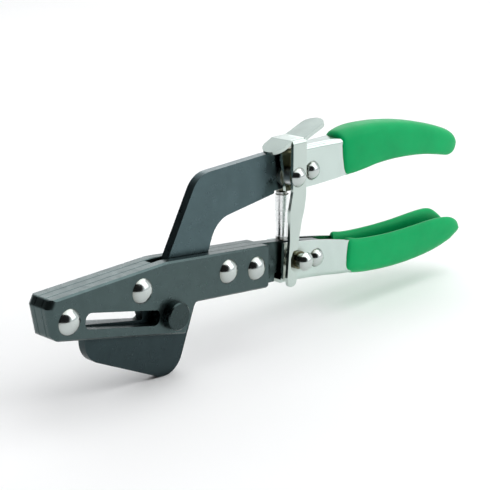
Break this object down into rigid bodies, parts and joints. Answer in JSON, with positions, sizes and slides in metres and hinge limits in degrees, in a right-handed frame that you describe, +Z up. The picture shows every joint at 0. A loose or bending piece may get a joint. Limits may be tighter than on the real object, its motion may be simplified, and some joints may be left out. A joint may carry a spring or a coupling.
{
  "type": "hand nibbler",
  "caption": "Lever-operated hand nibbler for sheet metal: a blade rises between two slotted cheeks, with channel handles in dipped grips, a volute return spring and a side latch.",
  "frame": {"origin": "on the axis of the main pivot pin, halfway through the plate stack", "axes": "+X from the pivot towards the handles, +Z up with the handles above the cutting nose, -Y towards the latch side"},
  "size_m": [0.2729, 0.0248, 0.0972],
  "materials": {
    "cheek_steel": "ground, then dark oxide finish",
    "core_steel": "ground, then dark oxide finish",
    "lever_steel": "hardened, ground, dark oxide finish",
    "pivot_steel": "turned, dark oxide finish",
    "bush_bronze": "sintered bronze, plain",
    "washer_steel": "plain",
    "rivet_steel": "polished",
    "plated_handle": "bright nickel plate over pressed sheet steel",
    "plated_latch": "bright nickel plate",
    "spacer_steel": "plain zinc plate",
    "seat_steel": "plain",
    "spring_steel": "polished spring strip",
    "grip_plastic": "dipped green plastisol, semi-gloss"
  },
  "bodies": {
    "body": {"near_cheek": "cheek_steel", "far_cheek": "cheek_steel", "nose_spacer": "core_steel", "rear_centre_plate": "core_steel", "nose_rivets": "rivet_steel", "rear_rivets": "rivet_steel", "pivot_pin": "pivot_steel", "lower_handle": "plated_handle", "lower_grip": "grip_plastic", "lower_handle_rivet": "rivet_steel", "lower_tang_spacers": "spacer_steel", "catch_pin": "rivet_steel", "lower_spring_seat": "seat_steel", "volute_spring": "spring_steel"},
    "lever": {"cutting_lever": "lever_steel", "pivot_bush": "bush_bronze", "pivot_washers": "washer_steel", "upper_handle": "plated_handle", "upper_grip": "grip_plastic", "upper_handle_rivet": "rivet_steel", "upper_tang_spacers": "spacer_steel", "latch_pivot_pin": "rivet_steel", "latch_spacer": "spacer_steel", "upper_spring_seat": "seat_steel"},
    "latch": {"latch_plate": "plated_latch"}
  },
  "joints": [
    {"name": "lever_swing", "type": "hinge", "parent": "body", "child": "lever", "pos_m": [0, 0, 0], "axis": [0, -1, 0], "range_deg": [0, 12], "deforming": ["volute_spring"]},
    {"name": "latch_swing", "type": "hinge", "parent": "lever", "child": "latch", "pos_m": [0.0737, 0, 0.046], "axis": [0, 1, 0], "range_deg": [0, 9]}
  ]
}
